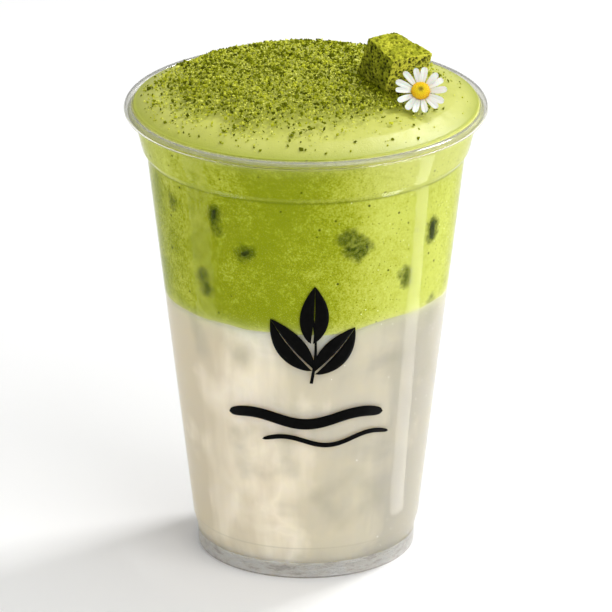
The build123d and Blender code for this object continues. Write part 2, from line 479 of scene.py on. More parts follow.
def cup_plastics():
    """The plastic of each part of the cup, in the order of CLEAR, MISTED, SILVER, FOOT, ROLL."""
    return [
        plastic("clear_plastic", (0.97, 0.98, 0.98), 0.03, 1.5, 1.0, 9 * MM, 0.05 * MM),
        # dulled with fine condensation by the cold contents
        plastic("misted_plastic", (0.98, 0.985, 0.98), 0.09, 1.1, 1.0, 6 * MM, 0.04 * MM, 0.5),
        # the top of the roll, whose many layers scatter light to a silvery grey
        plastic("rim_plastic", (0.76, 0.76, 0.72), 0.06, 1.5, 0.93, 5 * MM, 0.05 * MM),
        heel_plastic(),
        # the lower half of the roll, which lets the foam show through
        plastic("roll_plastic", (0.94, 0.93, 0.90), 0.06, 1.15, 1.0, 6 * MM, 0.04 * MM, 0.5),
    ]


def milk_look():
    """Milk thinned by ice, with clouds and fine runs; painted light makes it warm and bright at the front
    left, and painted shade makes it greyer to the right, where it also has painted glints.
    """
    look = Look("milk", Roughness=0.3, Specular_IOR_Level=0.0, Subsurface_Weight=1.0,
                Subsurface_Scale=11 * MM, Subsurface_Radius=(1.0, 0.9, 0.6))
    # turn runs from 0 at the left to 1 at the right; the ramp along it is painted light at the front left
    # and painted shade to the right
    turn = look.attribute("turn")
    clouds = look.waver(0.14, 15 * MM, 0.25, 0.75, detail=3.0, distortion=0.6)
    runs = look.waver(0.05, 4 * MM, detail=3.0, place=look.stretched(0.12))
    colour = look.ramp(
        look.add(turn, clouds, runs),
        (0.1, (0.64, 0.56, 0.41)),
        (0.33, (0.88, 0.80, 0.65)),
        (0.52, (0.67, 0.61, 0.47)),
        (0.72, (0.60, 0.555, 0.44)),
        (0.9, (0.46, 0.43, 0.355)),
    )
    # painted glints: bright specks, more of them to the right
    painted_glints = look.step(turn, 0.5, 0.9, 0.0, 0.5)
    colour = look.specks(colour, 1.7 * MM, 0.17 * MM, painted_glints, (0.95, 0.95, 0.90))
    # painted shade where ice touches the wall: the unlit inside of the drink seen through the ice
    colour = look.mix(look.attribute("ice"), colour, (0.40, 0.375, 0.28))
    # painted shade along the wall's lower step
    colour = look.mix(look.line(HEEL, 0.35 * MM, 0.35), colour, (0.48, 0.43, 0.32))
    colour = look.mix(look.attribute("tint"), colour, (0.86, 0.84, 0.40))
    return look.finished(colour, look.noise(2 * MM, detail=2.0), 0.02 * MM, 0.3)


def foam_wall_look():
    """Foam pressed against the wall: deep green to milky and specked, with painted shade towards the
    sides and where ice touches, painted light near its top and to the right under the rim, painted
    glints, and a painted crease.
    """
    look = Look("matcha_foam_at_wall", Roughness=0.5, Specular_IOR_Level=0.0, Subsurface_Weight=0.12,
                Subsurface_Scale=1.5 * MM, Subsurface_Radius=(1.0, 1.0, 0.3))
    tone_and_shade = look.attribute("tone_and_shade")
    clouds = look.waver(0.22, 11 * MM, 0.25, 0.75, detail=5.0, roughness=0.6)
    grain = look.waver(0.26, 0.6 * MM, detail=3.0, roughness=0.8)
    blots = look.waver(0.22, 2.4 * MM, detail=4.0, roughness=0.75)
    colour = look.ramp(
        look.add(tone_and_shade, clouds, grain, blots),
        (0.0, (0.25, 0.30, 0.008)),
        (0.25, (0.355, 0.40, 0.022)),
        (0.5, (0.475, 0.515, 0.060)),
        (1.0, (0.60, 0.65, 0.125)),
    )
    colour = look.specks(colour, 2.6 * MM, 0.36 * MM, 0.22, (0.08, 0.10, 0.004))
    colour = look.specks(colour, 1.2 * MM, 0.18 * MM, 0.6, (0.18, 0.22, 0.004))
    # painted glints: bright specks, more of them where the foam is paler
    painted_glints = look.math("MULTIPLY", tone_and_shade, 0.5)
    colour = look.specks(colour, 1.7 * MM, 0.17 * MM, painted_glints, (0.85, 0.90, 0.50))
    # painted highlight over painted shade at the wall's shoulder step: a light crease over a dark one
    colour = look.mix(look.line(SHOULDER + 0.9 * MM, 0.9 * MM, 0.15), colour, (0.60, 0.63, 0.16))
    colour = look.mix(look.line(SHOULDER - 0.15 * MM, 0.55 * MM, 0.6), colour, (0.16, 0.20, 0.008))
    # painted shade where ice touches the wall, with a ragged border
    ragged_ice_shade = look.add(look.attribute("ice"), look.waver(0.18, 1.1 * MM, detail=3.0))
    colour = look.mix(look.step(ragged_ice_shade, 0.15, 0.95), colour, (0.052, 0.078, 0.004))
    # pale is milky foam just over the milk, plus painted light near the foam's top edge and on the right
    # under the rim
    colour = look.mix(look.attribute("pale"), colour, (0.74, 0.75, 0.30))
    return look.finished(colour, look.noise(0.45 * MM, detail=3.0, roughness=0.6), 0.04 * MM, 0.5)


def foam_crown_look():
    """The crown: pale satin foam with fine bubbles, greener where powder lies on it, with painted shade
    along its edge by the rim.
    """
    look = Look("matcha_foam_crown", Roughness=0.42, Specular_IOR_Level=0.8, Subsurface_Weight=0.2,
                Subsurface_Scale=2.5 * MM, Subsurface_Radius=(1.0, 1.0, 0.3))
    colour = look.ramp(look.noise(10 * MM, detail=5.0, roughness=0.6),
                       (0.3, (0.50, 0.53, 0.070)), (0.7, (0.60, 0.62, 0.12)))
    colour = look.specks(colour, 1.5 * MM, 0.16 * MM, 0.5, (0.20, 0.23, 0.01))
    dusty = look.ramp(look.noise(0.8 * MM, detail=4.0, roughness=0.75),
                      (0.35, (0.36, 0.40, 0.012)), (0.55, (0.58, 0.62, 0.07)))
    ragged_dust = look.add(look.attribute("dust"), look.waver(0.4, 1.3 * MM, detail=3.0, roughness=0.7))
    colour = look.mix(look.step(ragged_dust, 0.25, 0.75, 0.0, 0.85), colour, dusty)
    # painted shade along the crown's edge by the rim
    colour = look.mix(look.attribute("edge"), colour, (0.36, 0.41, 0.012))
    fine = look.noise(0.5 * MM, detail=3.0, roughness=0.6)
    bubbles = look.step(look.cells(0.8 * MM).outputs["Distance"], 0.0, 0.35, 0.0, 0.5)
    return look.finished(colour, look.add(fine, bubbles), 0.12 * MM, 0.6)


def powder_look():
    look = Look("matcha_powder", Roughness=0.85, Specular_IOR_Level=0.05)
    colour = look.ramp(
        look.attribute("shade"),
        (0.0, (0.075, 0.090, 0.002)),
        (0.3, (0.21, 0.24, 0.005)),
        (0.6, (0.56, 0.59, 0.035)),
        (1.0, (0.84, 0.86, 0.20)),
    )
    return look.finished(colour, look.noise(0.15 * MM), 0.04 * MM)


def sponge_look():
    """Crumb of varied colour, with painted light on one side, painted shade on the opposite side and
    painted shade in its pores.
    """
    look = Look("matcha_sponge", Roughness=0.85, Specular_IOR_Level=0.2)
    colour = look.ramp(
        look.noise(2.2 * MM, detail=4.0, roughness=0.65),
        (0.3, (0.19, 0.21, 0.006)),
        (0.5, (0.40, 0.42, 0.013)),
        (0.7, (0.74, 0.74, 0.06)),
    )
    # painted light on one side of the cake and painted shade on the opposite side
    lit_side = look.math("MULTIPLY", look.attribute("lit_side"), 0.45)
    colour = look.mix(lit_side, colour, (0.95, 0.92, 0.10))
    shaded_side = look.math("MULTIPLY", look.attribute("shaded_side"), 0.35)
    colour = look.mix(shaded_side, colour, (0.050, 0.085, 0.003))
    # painted shade in the pores
    colour = look.mix(look.attribute("pore_shade"), colour, (0.018, 0.026, 0.001))
    return look.finished(colour, look.noise(0.25 * MM, detail=3.0, roughness=0.7), 0.08 * MM)


def petal_look():
    look = Look("petal", Roughness=0.5, Subsurface_Weight=0.3, Subsurface_Scale=0.8 * MM)
    colour = look.ramp(
        look.attribute("along"),
        (0.0, (0.66, 0.66, 0.48)),
        (0.25, (0.85, 0.83, 0.77)),
        (1.0, (0.93, 0.91, 0.86)),
    )
    return look.finished(colour, look.noise(0.3 * MM), 0.02 * MM, 0.4)


def pollen_look():
    look = Look("pollen", Roughness=0.6, Subsurface_Weight=0.1, Subsurface_Scale=0.3 * MM)
    colour = look.ramp(
        look.attribute("outward"),
        (0.0, (0.30, 0.26, 0.01)),
        (0.2, (0.55, 0.42, 0.006)),
        (0.4, (1.0, 0.80, 0.004)),
        (0.8, (0.99, 0.70, 0.004)),
        (1.0, (0.80, 0.43, 0.002)),
    )
    return look.finished(colour, look.noise(0.12 * MM), 0.02 * MM)


def calyx_look():
    look = Look("calyx", Roughness=0.55)
    colour = look.ramp(look.noise(1.2 * MM), (0.3, (0.10, 0.20, 0.03)), (0.7, (0.20, 0.33, 0.06)))
    return look.finished(colour, look.noise(0.3 * MM), 0.04 * MM)


def ice_look():
    """Ice coloured dark as painted shade, for the unlit inside of the drink seen through clear ice, with
    some of its green.
    """
    look = Look("ice", Roughness=0.3, IOR=1.1, Transmission_Weight=0.6)
    colour = look.ramp(look.noise(1.3 * MM, detail=4.0, roughness=0.7),
                       (0.3, (0.04, 0.055, 0.004)), (0.7, (0.13, 0.18, 0.015)))
    return look.finished(colour, look.noise(1.2 * MM, detail=3.0), 0.15 * MM)


def ink_look():
    look = Look("print_ink", Roughness=0.55, Specular_IOR_Level=0.03)
    colour = look.ramp(look.noise(1.5 * MM, detail=3.0),
                       (0.3, (0.0015, 0.0015, 0.0015)), (0.8, (0.004, 0.004, 0.0036)))
    return look.finished(colour, look.noise(0.4 * MM), 0.01 * MM, 0.3)


def floor_look():
    look = Look("pale_floor", Roughness=0.7)
    colour = look.ramp(look.noise(0.4, detail=2.0), (0.3, (0.93, 0.93, 0.93)), (0.7, (0.95, 0.95, 0.95)))
    return look.finished(colour)


# ---- The cup ----

def arc(centre, radius, start, end, steps):
    """Points (radius, height) along an arc of a circle in the outline's plane, in degrees."""
    made = []
    for i in range(steps + 1):
        angle = math.radians(start + (end - start) * i / steps)
        made.append((centre[0] + radius * math.cos(angle), centre[1] + radius * math.sin(angle)))
    return made


def read_outline(radius_at, heights):
    """The (radius, height) points of a CAD outline that its shape needs."""
    return thinned([(radius_at(z), z) for z in heights], OUTLINE_TOLERANCE, OUTLINE_LONGEST)


def cup_outline():
    """Closed outline of the cup's sheet, from the axis over the floor, wall, rim and foot."""
    curl_centre = (RIM_RADIUS - CURL_RADIUS, RIM_TOP - CURL_RADIUS)
    neck_top = curl_centre[1] - 1.2 * MM
    floor = MILK_LOW.z
    start = 0.02 * MM
    steps = int((neck_top - floor) / OUTLINE_STEP)
    inside = read_outline(wall_inside, [floor + start + i * OUTLINE_STEP for i in range(steps)])
    outside = read_outline(wall_outside, np.arange(start, neck_top, OUTLINE_STEP))
    under = cup_tree.ray_cast(Vector((0, 0, -1)), Vector((0, 0, 1)))[0].z
    ring = cup_tree.ray_cast(Vector((0, 0, under / 2)), bearing_vector(90 + INSIDE_ANGLE))[0].x
    soft = FOOT_ROUNDING
    outline = [(share * inside[0][0], floor) for share in (0, 0.5, 0.9)]
    outline += inside
    outline += arc(curl_centre, CURL_RADIUS, CURL_START, CURL_END, 40)
    outline += arc(curl_centre, CURL_RADIUS - CURL_SHEET, CURL_END, CURL_START, 30)
    outline += outside[::-1]
    outline += arc((ring + soft, soft), soft, 270, 180, 4)
    outline += arc((ring - soft, under - soft), soft, 0, 90, 4)
    outline += [(share * ring, under) for share in (0.9, 0.5, 0)]
    return outline


# From the top the cup is silver, then roll, then clear inside and misted outside, then foot.
CLEAR, MISTED, SILVER, FOOT, ROLL = range(5)
SILVER_LOW = RIM_TOP - 1.0 * MM
ROLL_LOW = RIM_TOP - 2.6 * MM
FOOT_HIGH = MILK_LOW.z + 0.2 * MM
MIDDLE_HEIGHTS = np.linspace(MILK_LOW.z + 0.1 * MM, RIM_TOP - 3 * MM, 200)
MIDDLE_RADII = np.array([(wall_inside(z) + wall_outside(z)) / 2 for z in MIDDLE_HEIGHTS])


def wall_middle(z):
    """Radius of the middle of the wall's thickness at a height."""
    return np.interp(z, MIDDLE_HEIGHTS, MIDDLE_RADII)


def build_cup():
    vertices, faces = turned_grid(cup_outline()[::-1], CUP_SEGMENTS)
    cup = mesh_object("cup_shell", vertices, faces, cup_plastics())
    for polygon in cup.data.polygons:
        x, y, height = polygon.center
        if height > SILVER_LOW:
            part = SILVER
        elif height > ROLL_LOW:
            part = ROLL
        elif height < FOOT_HIGH:
            part = FOOT
        else:
            part = MISTED if math.hypot(x, y) > wall_middle(height) else CLEAR
        polygon.material_index = part
    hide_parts("cup")


# ---- Milk and foam ----

WALL_HEIGHTS = np.linspace(MILK_LOW.z + 0.05 * MM, RIM_TOP - 0.25 * MM, 400)
WALL_RADII = np.array([wall_inside(z) for z in WALL_HEIGHTS])

# the heights of the wall's two steps, where it slopes most
WALL_SLOPE = np.gradient(WALL_RADII, WALL_HEIGHTS)
SHOULDER = WALL_HEIGHTS[np.argmax((WALL_HEIGHTS > RIM_TOP * 0.8) & (WALL_SLOPE > 0.4))]
HEEL = WALL_HEIGHTS[(WALL_HEIGHTS < RIM_TOP * 0.15) & (WALL_SLOPE > 0.2)][-1]

# Ice cubes that press against the wall: bearing, height, edge length, how far the cube reaches
# past the contents' skin, what of it meets the wall, and its turn about that point in degrees.
ICE = [
    (-35.7, 107.2, 5.5, 0.15, "edge", -12),
    (-35.2, 103.6, 6, -0.45, "edge", 0),
    (-23.4, 97.4, 5.5, 0.10, "edge", -62),
    (-43.9, 87.8, 5, -0.05, "edge", -12),
    (-42.6, 84.3, 5, -0.15, "edge", -20),
    (19.8, 99.4, 6, -0.06, "face", 45),
    (15.6, 102.6, 6, 0.00, "edge", -50),
    (55.4, 98.9, 7, 0.40, "edge", 4),
    (42.2, 87.9, 6.5, 0.00, "edge", 6),
    (-58.5, 106.5, 6, -0.60, "edge", 0),
    (-50.5, 70.0, 13, -0.80, "edge", 12),
    (-27.6, 66.5, 18, -0.60, "corner", 0),
    (62.0, 74.5, 9, -0.20, "edge", 20),
    (53.0, 60.0, 15, -2.20, "face", 20),
    (21.0, 24.0, 13, -2.00, "face", 35),
    (-20.0, 38.0, 14, -2.20, "face", 10),
    (150.0, 98.0, 17, 0.15, "corner", 0),
    (200.0, 88.0, 17, 0.18, "corner", 0),
    (235.0, 105.0, 16, 0.10, "corner", 0),
    (170.0, 60.0, 15, -2.20, "face", 25),
    (110.0, 40.0, 18, -0.60, "corner", 0),
]


def contents_radius(z):
    """Radius of the milk or foam at the wall, which bites into it."""
    return np.interp(z, WALL_HEIGHTS, WALL_RADII) + BITE


def boundary_height(angles):
    """Height of the wavy line between milk and foam round the cup."""
    x, y = 40 * MM * np.cos(angles), 40 * MM * np.sin(angles)
    wander = fractal(x, y, np.full_like(x, 3.1 * MM), 22 * MM)
    away = (np.degrees(angles) + 90 - SWELL_BEARING + 180) % 360 - 180
    swell = np.exp(-(away / SWELL_SPREAD) ** 2)
    return MILK_LEVEL + BOUNDARY_LIFT + BOUNDARY_WAVE * wander + BOUNDARY_SWELL * swell


def ice_placements():
    """Each ice cube as (matrix, half edge, rounding)."""
    made = []
    for bearing, height, edge, reach, contact, turned in ICE:
        outward = bearing_vector(bearing)
        half = edge * MM / 2
        rounding = ICE_ROUNDING if contact != "face" else ICE_ROUNDING / 2
        core = half - rounding
        touch = Vector((core, core if contact != "face" else 0, core if contact == "corner" else 0))
        radius = float(contents_radius(height * MM))
        flare = radius - float(contents_radius((height - 1) * MM))
        facing = (outward - Vector((0, 0, flare / MM))).normalized()
        bearing_gap = math.atan2(outward.y, outward.x) - math.atan2(touch.y, touch.x)
        around = Matrix.Rotation(bearing_gap, 3, "Z")
        tilt = (around @ touch).rotation_difference(facing).to_matrix()
        spin = Matrix.Rotation(math.radians(turned), 3, facing)
        skin = outward * radius + Vector((0, 0, height * MM))
        centre = skin + facing * (reach * MM - rounding - touch.length)
        turn = spin @ (tilt @ around)
        made.append((Matrix.Translation(centre) @ turn.to_4x4(), half, rounding))
    return made


ICE_PLACES = ice_placements()
FOAM_EDGE = RIM_TOP - FOAM_EDGE_DROP
FOAM_RADIUS = float(contents_radius(FOAM_EDGE))


def ice_distance(points):
    """Distance from each point to the nearest ice cube, negative inside it."""
    nearest = np.full(len(points), 1.0)
    for matrix, half, rounding in ICE_PLACES:
        inverse = np.array(matrix.inverted())
        local = np.abs(points @ inverse[:3, :3].T + inverse[:3, 3])
        outside = np.maximum(local - (half - rounding), 0)
        distance = np.linalg.norm(outside, axis=1) - rounding
        if half > SMALL_ICE / 2:
            # a flat side lets light in, so only its border gets painted shade
            middle = 1 - smoothstep(0.35 * half, 0.85 * half, np.sort(local, axis=1)[:, 1])
            distance = distance + middle * 0.75 * MM
        nearest = np.minimum(nearest, distance)
    return nearest


def near_ice(points, blur):
    """1 on ice that reaches the skin, fading to 0 at a distance from it."""
    patch = fractal(*points.T, 2.2 * MM) * 0.45 * MM
    return 1 - smoothstep(-0.3 * MM, blur, ice_distance(points) + patch)


def build_milk():
    top = boundary_height(segment_angles(MILK_SEGMENTS))
    floor = MILK_LOW.z
    low = floor - BITE
    start = floor + 0.3 * MM
    rings = [
        (0, low),
        (contents_radius(floor) * 0.6, low),
        (contents_radius(floor + 0.1 * MM) - 0.3 * MM, low),
        (contents_radius(start), floor),
    ]
    rows = int((MILK_LEVEL - floor) / MILK_ROW)
    for i in range(1, rows + 1):
        z = start + (top - start) * i / rows
        rings.append((contents_radius(z), z))
    rings += [
        (contents_radius(top) - 0.05 * MM, top + 0.4 * MM),
        (contents_radius(top) * 0.9, top),
        (0, MILK_LEVEL),
    ]
    vertices, faces = turned_grid(rings, MILK_SEGMENTS)
    milk = mesh_object("milk_body", vertices, faces, [milk_look()])
    x, y, z = vertices.T
    below = boundary_height(np.arctan2(y, x)) - z
    wisps = fractal(x, y, z * 0.4, 7 * MM)
    near_top = np.exp(-np.maximum(below, 0) / (1.1 * MM)) * 0.6
    set_attribute(milk, "tint", near_top + np.exp(-below / (6 * MM)) * (0.10 + 0.10 * wisps))
    # ice: painted shade where ice touches the wall
    set_attribute(milk, "ice", near_ice(vertices, 3.6 * MM) * 0.6)
    # turn, from 0 at the left to 1 at the right, carries the milk's painted light, painted shade and
    # painted glints
    set_attribute(milk, "turn", 0.5 + 0.5 * x / np.maximum(np.hypot(x, y), MM))
    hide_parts("milk")


def dust_density(x, y):
    """How thickly powder lies on the crown, from 0 to 1."""
    u = (x - DUST_CENTRE[0]) / DUST_RADII[0]
    v = (y - DUST_CENTRE[1]) / DUST_RADII[1]
    reach = np.hypot(u, v) + 0.16 * fractal(x, y, np.zeros_like(x), 11 * MM)
    patches = 0.72 + 0.38 * fractal(x, y, np.full_like(x, 5 * MM), 3 * MM)
    return np.clip((1 - smoothstep(0.62, 1.12, reach)) * patches, 0, 1)


def foam_rings():
    """Rings of the foam from below up the wall and over the crown, and how many of them come
    before the crown."""
    angles = segment_angles(FOAM_SEGMENTS)
    bottom = boundary_height(angles)
    at_wall = contents_radius(bottom)
    rings = [
        (0, MILK_LEVEL - 0.5 * MM),
        (at_wall * 0.9, bottom),
        (at_wall, bottom),
        (at_wall, bottom + 0.03 * MM),
    ]
    rows = int((FOAM_EDGE - MILK_LEVEL) / FOAM_ROW)
    for i in range(1, rows + 1):
        z = bottom + (FOAM_EDGE - bottom) * i / rows
        rings.append((contents_radius(z), z))
    wall_rows = len(rings)
    for i in range(1, DOME_ROWS):
        radius = FOAM_RADIUS * (1 - (i / DOME_ROWS) ** DOME_CROWDING)
        x, y = radius * np.cos(angles), radius * np.sin(angles)
        inside = FOAM_RADIUS - radius
        shoulder = FOAM_EDGE + np.sqrt(inside * 2.0 * MM)
        relief = 0.10 * MM * fractal(x, y, np.zeros_like(x), 6 * MM)
        lumps = fractal(x, y, np.full_like(x, 2 * MM), 1.3 * MM, 2)
        powder = dust_density(x, y) * DUST_RELIEF * (0.5 + lumps)
        calm = min(1.0, inside / (3 * MM))
        rings.append((radius, np.minimum(dome_z(x, y), shoulder) + (relief + powder) * calm))
    rings.append((0, float(dome_z(0, 0))))
    return rings, wall_rows


def foam_tone_and_shade(bearings, z):
    """How milky the foam at the wall is, from 0 where it is darkest green, with painted shade towards the
    sides.
    """
    narrowed = DEEP_SPREAD[0] - DEEP_NECK * smoothstep(SHOULDER - 8 * MM, SHOULDER + 4 * MM, z)
    spread = np.where(bearings > DEEP_BEARING, DEEP_SPREAD[1], narrowed)
    deep = np.exp(-((bearings - DEEP_BEARING) / spread) ** 2)
    # the two smoothsteps are painted shade towards the outline at the right and at the left
    return 1 - deep - 0.60 * smoothstep(50, 85, bearings) - 0.32 * smoothstep(52, 85, -bearings)


def build_foam():
    rings, wall_rows = foam_rings()
    vertices, faces = turned_grid(rings, FOAM_SEGMENTS)
    looks = [foam_wall_look(), foam_crown_look()]
    foam = mesh_object("matcha_foam_body", vertices, faces, looks)
    on_dome = np.arange(len(vertices)) >= 1 + (wall_rows - 1) * FOAM_SEGMENTS
    for polygon in foam.data.polygons:
        polygon.material_index = int(all(on_dome[v] for v in polygon.vertices))
    x, y, z = vertices.T
    bearings = np.degrees(np.arctan2(x, -y))
    from_edge = (FOAM_RADIUS - np.hypot(x, y)) / (2.6 * MM)
    above = np.maximum(z - boundary_height(np.arctan2(y, x)), 0)
    # painted light on the right under the rim
    painted_neck_light = smoothstep(SHOULDER - 2 * MM, SHOULDER + 3 * MM, z) * smoothstep(10, 45, bearings)
    # pale: milky foam just over the milk, and painted light near the foam's top edge
    pale = np.exp(-above / (1.2 * MM)) * 0.55 + np.exp(-(FOAM_EDGE - z) / (1.5 * MM)) * 0.8
    set_attribute(foam, "dust", np.where(on_dome, dust_density(x, y), 0))
    # edge: painted shade along the crown's edge by the rim
    set_attribute(foam, "edge", np.exp(-from_edge ** 2) * 0.8)
    # ice: painted shade where ice touches the wall
    set_attribute(foam, "ice", np.where(on_dome, 0, near_ice(vertices, 2.2 * MM) * 0.85))
    set_attribute(foam, "pale", np.where(on_dome, 0, np.minimum(pale + 0.35 * painted_neck_light, 1)))
    set_attribute(foam, "tone_and_shade", foam_tone_and_shade(bearings, z))
    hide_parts("matcha_foam")


def rounded_cube(half, rounding, cuts=7):
    """Vertices and faces of a cube with rounded edges, as a grid on each side."""
    vertices, faces = [], []
    core = half - rounding
    for axis in range(3):
        for side in (-1, 1):
            faces += [quad[::side] for quad in grid_quads(cuts, cuts, len(vertices))]
            for i in range(cuts):
                for j in range(cuts):
                    point = [0.0, 0.0, 0.0]
                    point[axis] = side
                    point[(axis + 1) % 3] = -1 + 2 * i / (cuts - 1)
                    point[(axis + 2) % 3] = -1 + 2 * j / (cuts - 1)
                    outer = Vector(point) * half
                    inner = Vector([max(-core, min(core, c)) for c in outer])
                    vertices.append(inner + (outer - inner).normalized() * rounding)
    return vertices, faces


def build_ice():
    looks = [ice_look()]
    for number, (matrix, half, rounding) in enumerate(ICE_PLACES, 1):
        vertices, faces = rounded_cube(half, rounding)
        mesh_object(f"ice_{number:02d}", [matrix @ v for v in vertices], faces, looks)


# ---- Powder ----

OCTAHEDRON = (
    np.array([(1, 0, 0), (-1, 0, 0), (0, 1, 0), (0, -1, 0), (0, 0, 1), (0, 0, -1)], float),
    np.array([(0, 2, 4), (2, 1, 4), (1, 3, 4), (3, 0, 4), (2, 0, 5), (1, 2, 5), (3, 1, 5), (0, 3, 5)]),
)


def random_turns(rng, count):
    """Uniformly random rotation matrices."""
    q = rng.normal(size=(count, 4))
    q /= np.linalg.norm(q, axis=1)[:, None]
    w, x, y, z = q.T
    return np.stack([
        1 - 2 * (y * y + z * z), 2 * (x * y - z * w), 2 * (x * z + y * w),
        2 * (x * y + z * w), 1 - 2 * (x * x + z * z), 2 * (y * z - x * w),
        2 * (x * z - y * w), 2 * (y * z + x * w), 1 - 2 * (x * x + y * y),
    ], axis=1).reshape(count, 3, 3)


def grains(name, centres, radii, shades, rng, looks):
    """One joined mesh of small irregular lumps."""
    count = len(centres)
    shape, triangles = OCTAHEDRON
    stretch = rng.uniform(0.5, 1.45, (count, 1, 3))
    lumps = shape[None] * stretch * (1 + rng.uniform(-0.2, 0.2, (count, len(shape), 1)))
    lumps = np.einsum("nij,nkj->nki", random_turns(rng, count), lumps)
    vertices = (lumps * radii[:, None, None] + centres[:, None, :]).reshape(-1, 3)
    faces = (triangles[None] + (np.arange(count) * len(shape))[:, None, None]).reshape(-1, 3)
    piece = mesh_object(name, vertices, faces.tolist(), looks, smooth=False)
    set_attribute(piece, "shade", np.repeat(shades, len(shape)))


def scattered(rng, count, density):
    """Points on the crown, more where the density is high."""
    found = []
    reach = float(DOME_RADII[-1]) - 1.5 * MM
    while len(found) < count:
        x, y = rng.uniform(-reach, reach, (2, 4000))
        keep = (np.hypot(x, y) < reach) & (rng.uniform(size=4000) < density(x, y))
        found.extend(zip(x[keep], y[keep]))
    return np.array(found[:count])


def cake_shadow(x, y, z):
    """1 on powder beside the shaded side of the cake, which gets painted shadow, fading to 0 away from
    it.
    """
    cake_tree = tree_of("cake_cube")
    low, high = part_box("cake_cube")
    middle = (low + high) / 2
    side = bearing_vector(SHADED_BEARING)
    gaps = np.array([cake_tree.find_nearest(Vector(p))[3] for p in zip(x, y, z)])
    beside = smoothstep(-2 * MM, 5 * MM, (x - middle.x) * side.x + (y - middle.y) * side.y)
    return np.exp(-(gaps / (2.6 * MM)) ** 2) * beside


def fine_density(x, y):
    """Small grains lie where the powder is, and a few anywhere on the crown."""
    return np.maximum(dust_density(x, y), 0.012)


def clump_density(x, y):
    """Large grains are also strewn past the powder, but hardly to the right."""
    return np.maximum(dust_density(x, y) * 0.8, 0.05 * (1 - smoothstep(20 * MM, 44 * MM, x)))


def build_powder():
    rng = np.random.default_rng(7)
    small = scattered(rng, SMALL_GRAINS, fine_density)
    large = scattered(rng, LARGE_GRAINS, clump_density)
    x, y = np.vstack([small, large]).T
    radii = [rng.uniform(*SMALL_RADII, len(small)), rng.uniform(*LARGE_RADII, len(large))]
    radii = np.concatenate(radii) * MM
    lift = radii * rng.uniform(0.1, 0.8, len(x)) + dust_density(x, y) * 0.1 * MM
    z = dome_z(x, y) + lift
    shades = np.concatenate([rng.beta(1.6, 1.1, len(small)), rng.beta(0.9, 2.2, len(large))])
    # painted shadow on the powder beside the cake's shaded side
    shades = shades * (1 - 0.75 * cake_shadow(x, y, z))
    centres = np.column_stack([x, y, z])
    grains("matcha_powder_grains", centres, radii, shades, rng, [powder_look()])


# ---- Cake ----

def dense_copy(node, voxel):
    """Points, normals and faces of a CAD node's mesh, remeshed to even small faces."""
    body = scene_object(node + "_dense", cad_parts[node].data.copy())
    remesh = body.modifiers.new("voxels", "REMESH")
    remesh.mode = "VOXEL"
    remesh.voxel_size = voxel
    dense = bpy.data.meshes.new_from_object(body.evaluated_get(bpy.context.evaluated_depsgraph_get()))
    bpy.data.objects.remove(body)
    points = np.array([v.co for v in dense.vertices])
    normals = np.array([v.normal for v in dense.vertices])
    return points, normals, [tuple(p.vertices) for p in dense.polygons]


def pores(points, size, width, seed):
    """Depth from 0 to 1 of round pores about a size apart."""
    nearest = [noise.voronoi(Vector(p) / size + Vector((seed, 0, 0)))[0][0] for p in points]
    return 1 - smoothstep(width * 0.4, width, np.array(nearest))


def build_cake():
    points, normals, faces = dense_copy("cake_cube", CAKE_VOXEL)
    large = pores(points, LARGE_PORES, 0.52, 3.0)
    small = pores(points, SMALL_PORES, 0.50, 9.0)
    rough = fractal(*points.T, 0.5 * MM)
    waves = fractal(*points.T, 4 * MM, 2)
    move = (rough + waves) * 0.10 * MM - 0.14 * MM
    move = np.minimum(move - LARGE_PORE_DEPTH * large - SMALL_PORE_DEPTH * small, -0.02 * MM)
    moved = points + normals * move[:, None]
    low, high = points.min(0), points.max(0)
    middle = (low + high) / 2
    spread = 1 + CAKE_SETTLING * (high[2] - moved[:, 2]) / (high[2] - low[2])
    moved[:, :2] = middle[:2] + (moved[:, :2] - middle[:2]) * spread[:, None]
    cake = mesh_object("sponge_cube", moved, faces, [sponge_look()])
    on_top = smoothstep(0.6, 0.9, normals[:, 2])
    # painted shade in the pores, weaker on the top faces
    shaded_pores = (large * 0.95 + small * 0.80 - 0.30 * rough) * (1 - 0.45 * on_top)
    set_attribute(cake, "pore_shade", np.clip(shaded_pores, 0, 1))
    # painted shade on the side that faces one bearing, painted light on the side that faces the other
    for name, bearing in (("shaded_side", SHADED_BEARING), ("lit_side", LIT_BEARING)):
        facing = normals @ np.array(bearing_vector(bearing))
        set_attribute(cake, name, smoothstep(0.35, 0.8, facing))
    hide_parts("cake_cube")


# ---- Daisy ----

def daisy_frame():
    """Matrix with its origin at the petals' root plane and Z the way the flower faces."""
    stem = np.array([v.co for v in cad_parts["daisy_calyx"].data.vertices])
    middle = stem.mean(0)
    axis = np.linalg.svd(stem - middle)[2][0]
    facing = Vector(axis if axis[2] > 0 else -axis)
    top = max(facing.dot(Vector(p)) for p in stem)
    origin = Vector(middle) + facing * (top - facing.dot(Vector(middle)))
    sideways = Vector((0, 0, 1)).cross(facing).normalized()
    upward = facing.cross(sideways)
    matrix = Matrix((sideways, upward, facing)).transposed().to_4x4()
    matrix.translation = origin
    return matrix


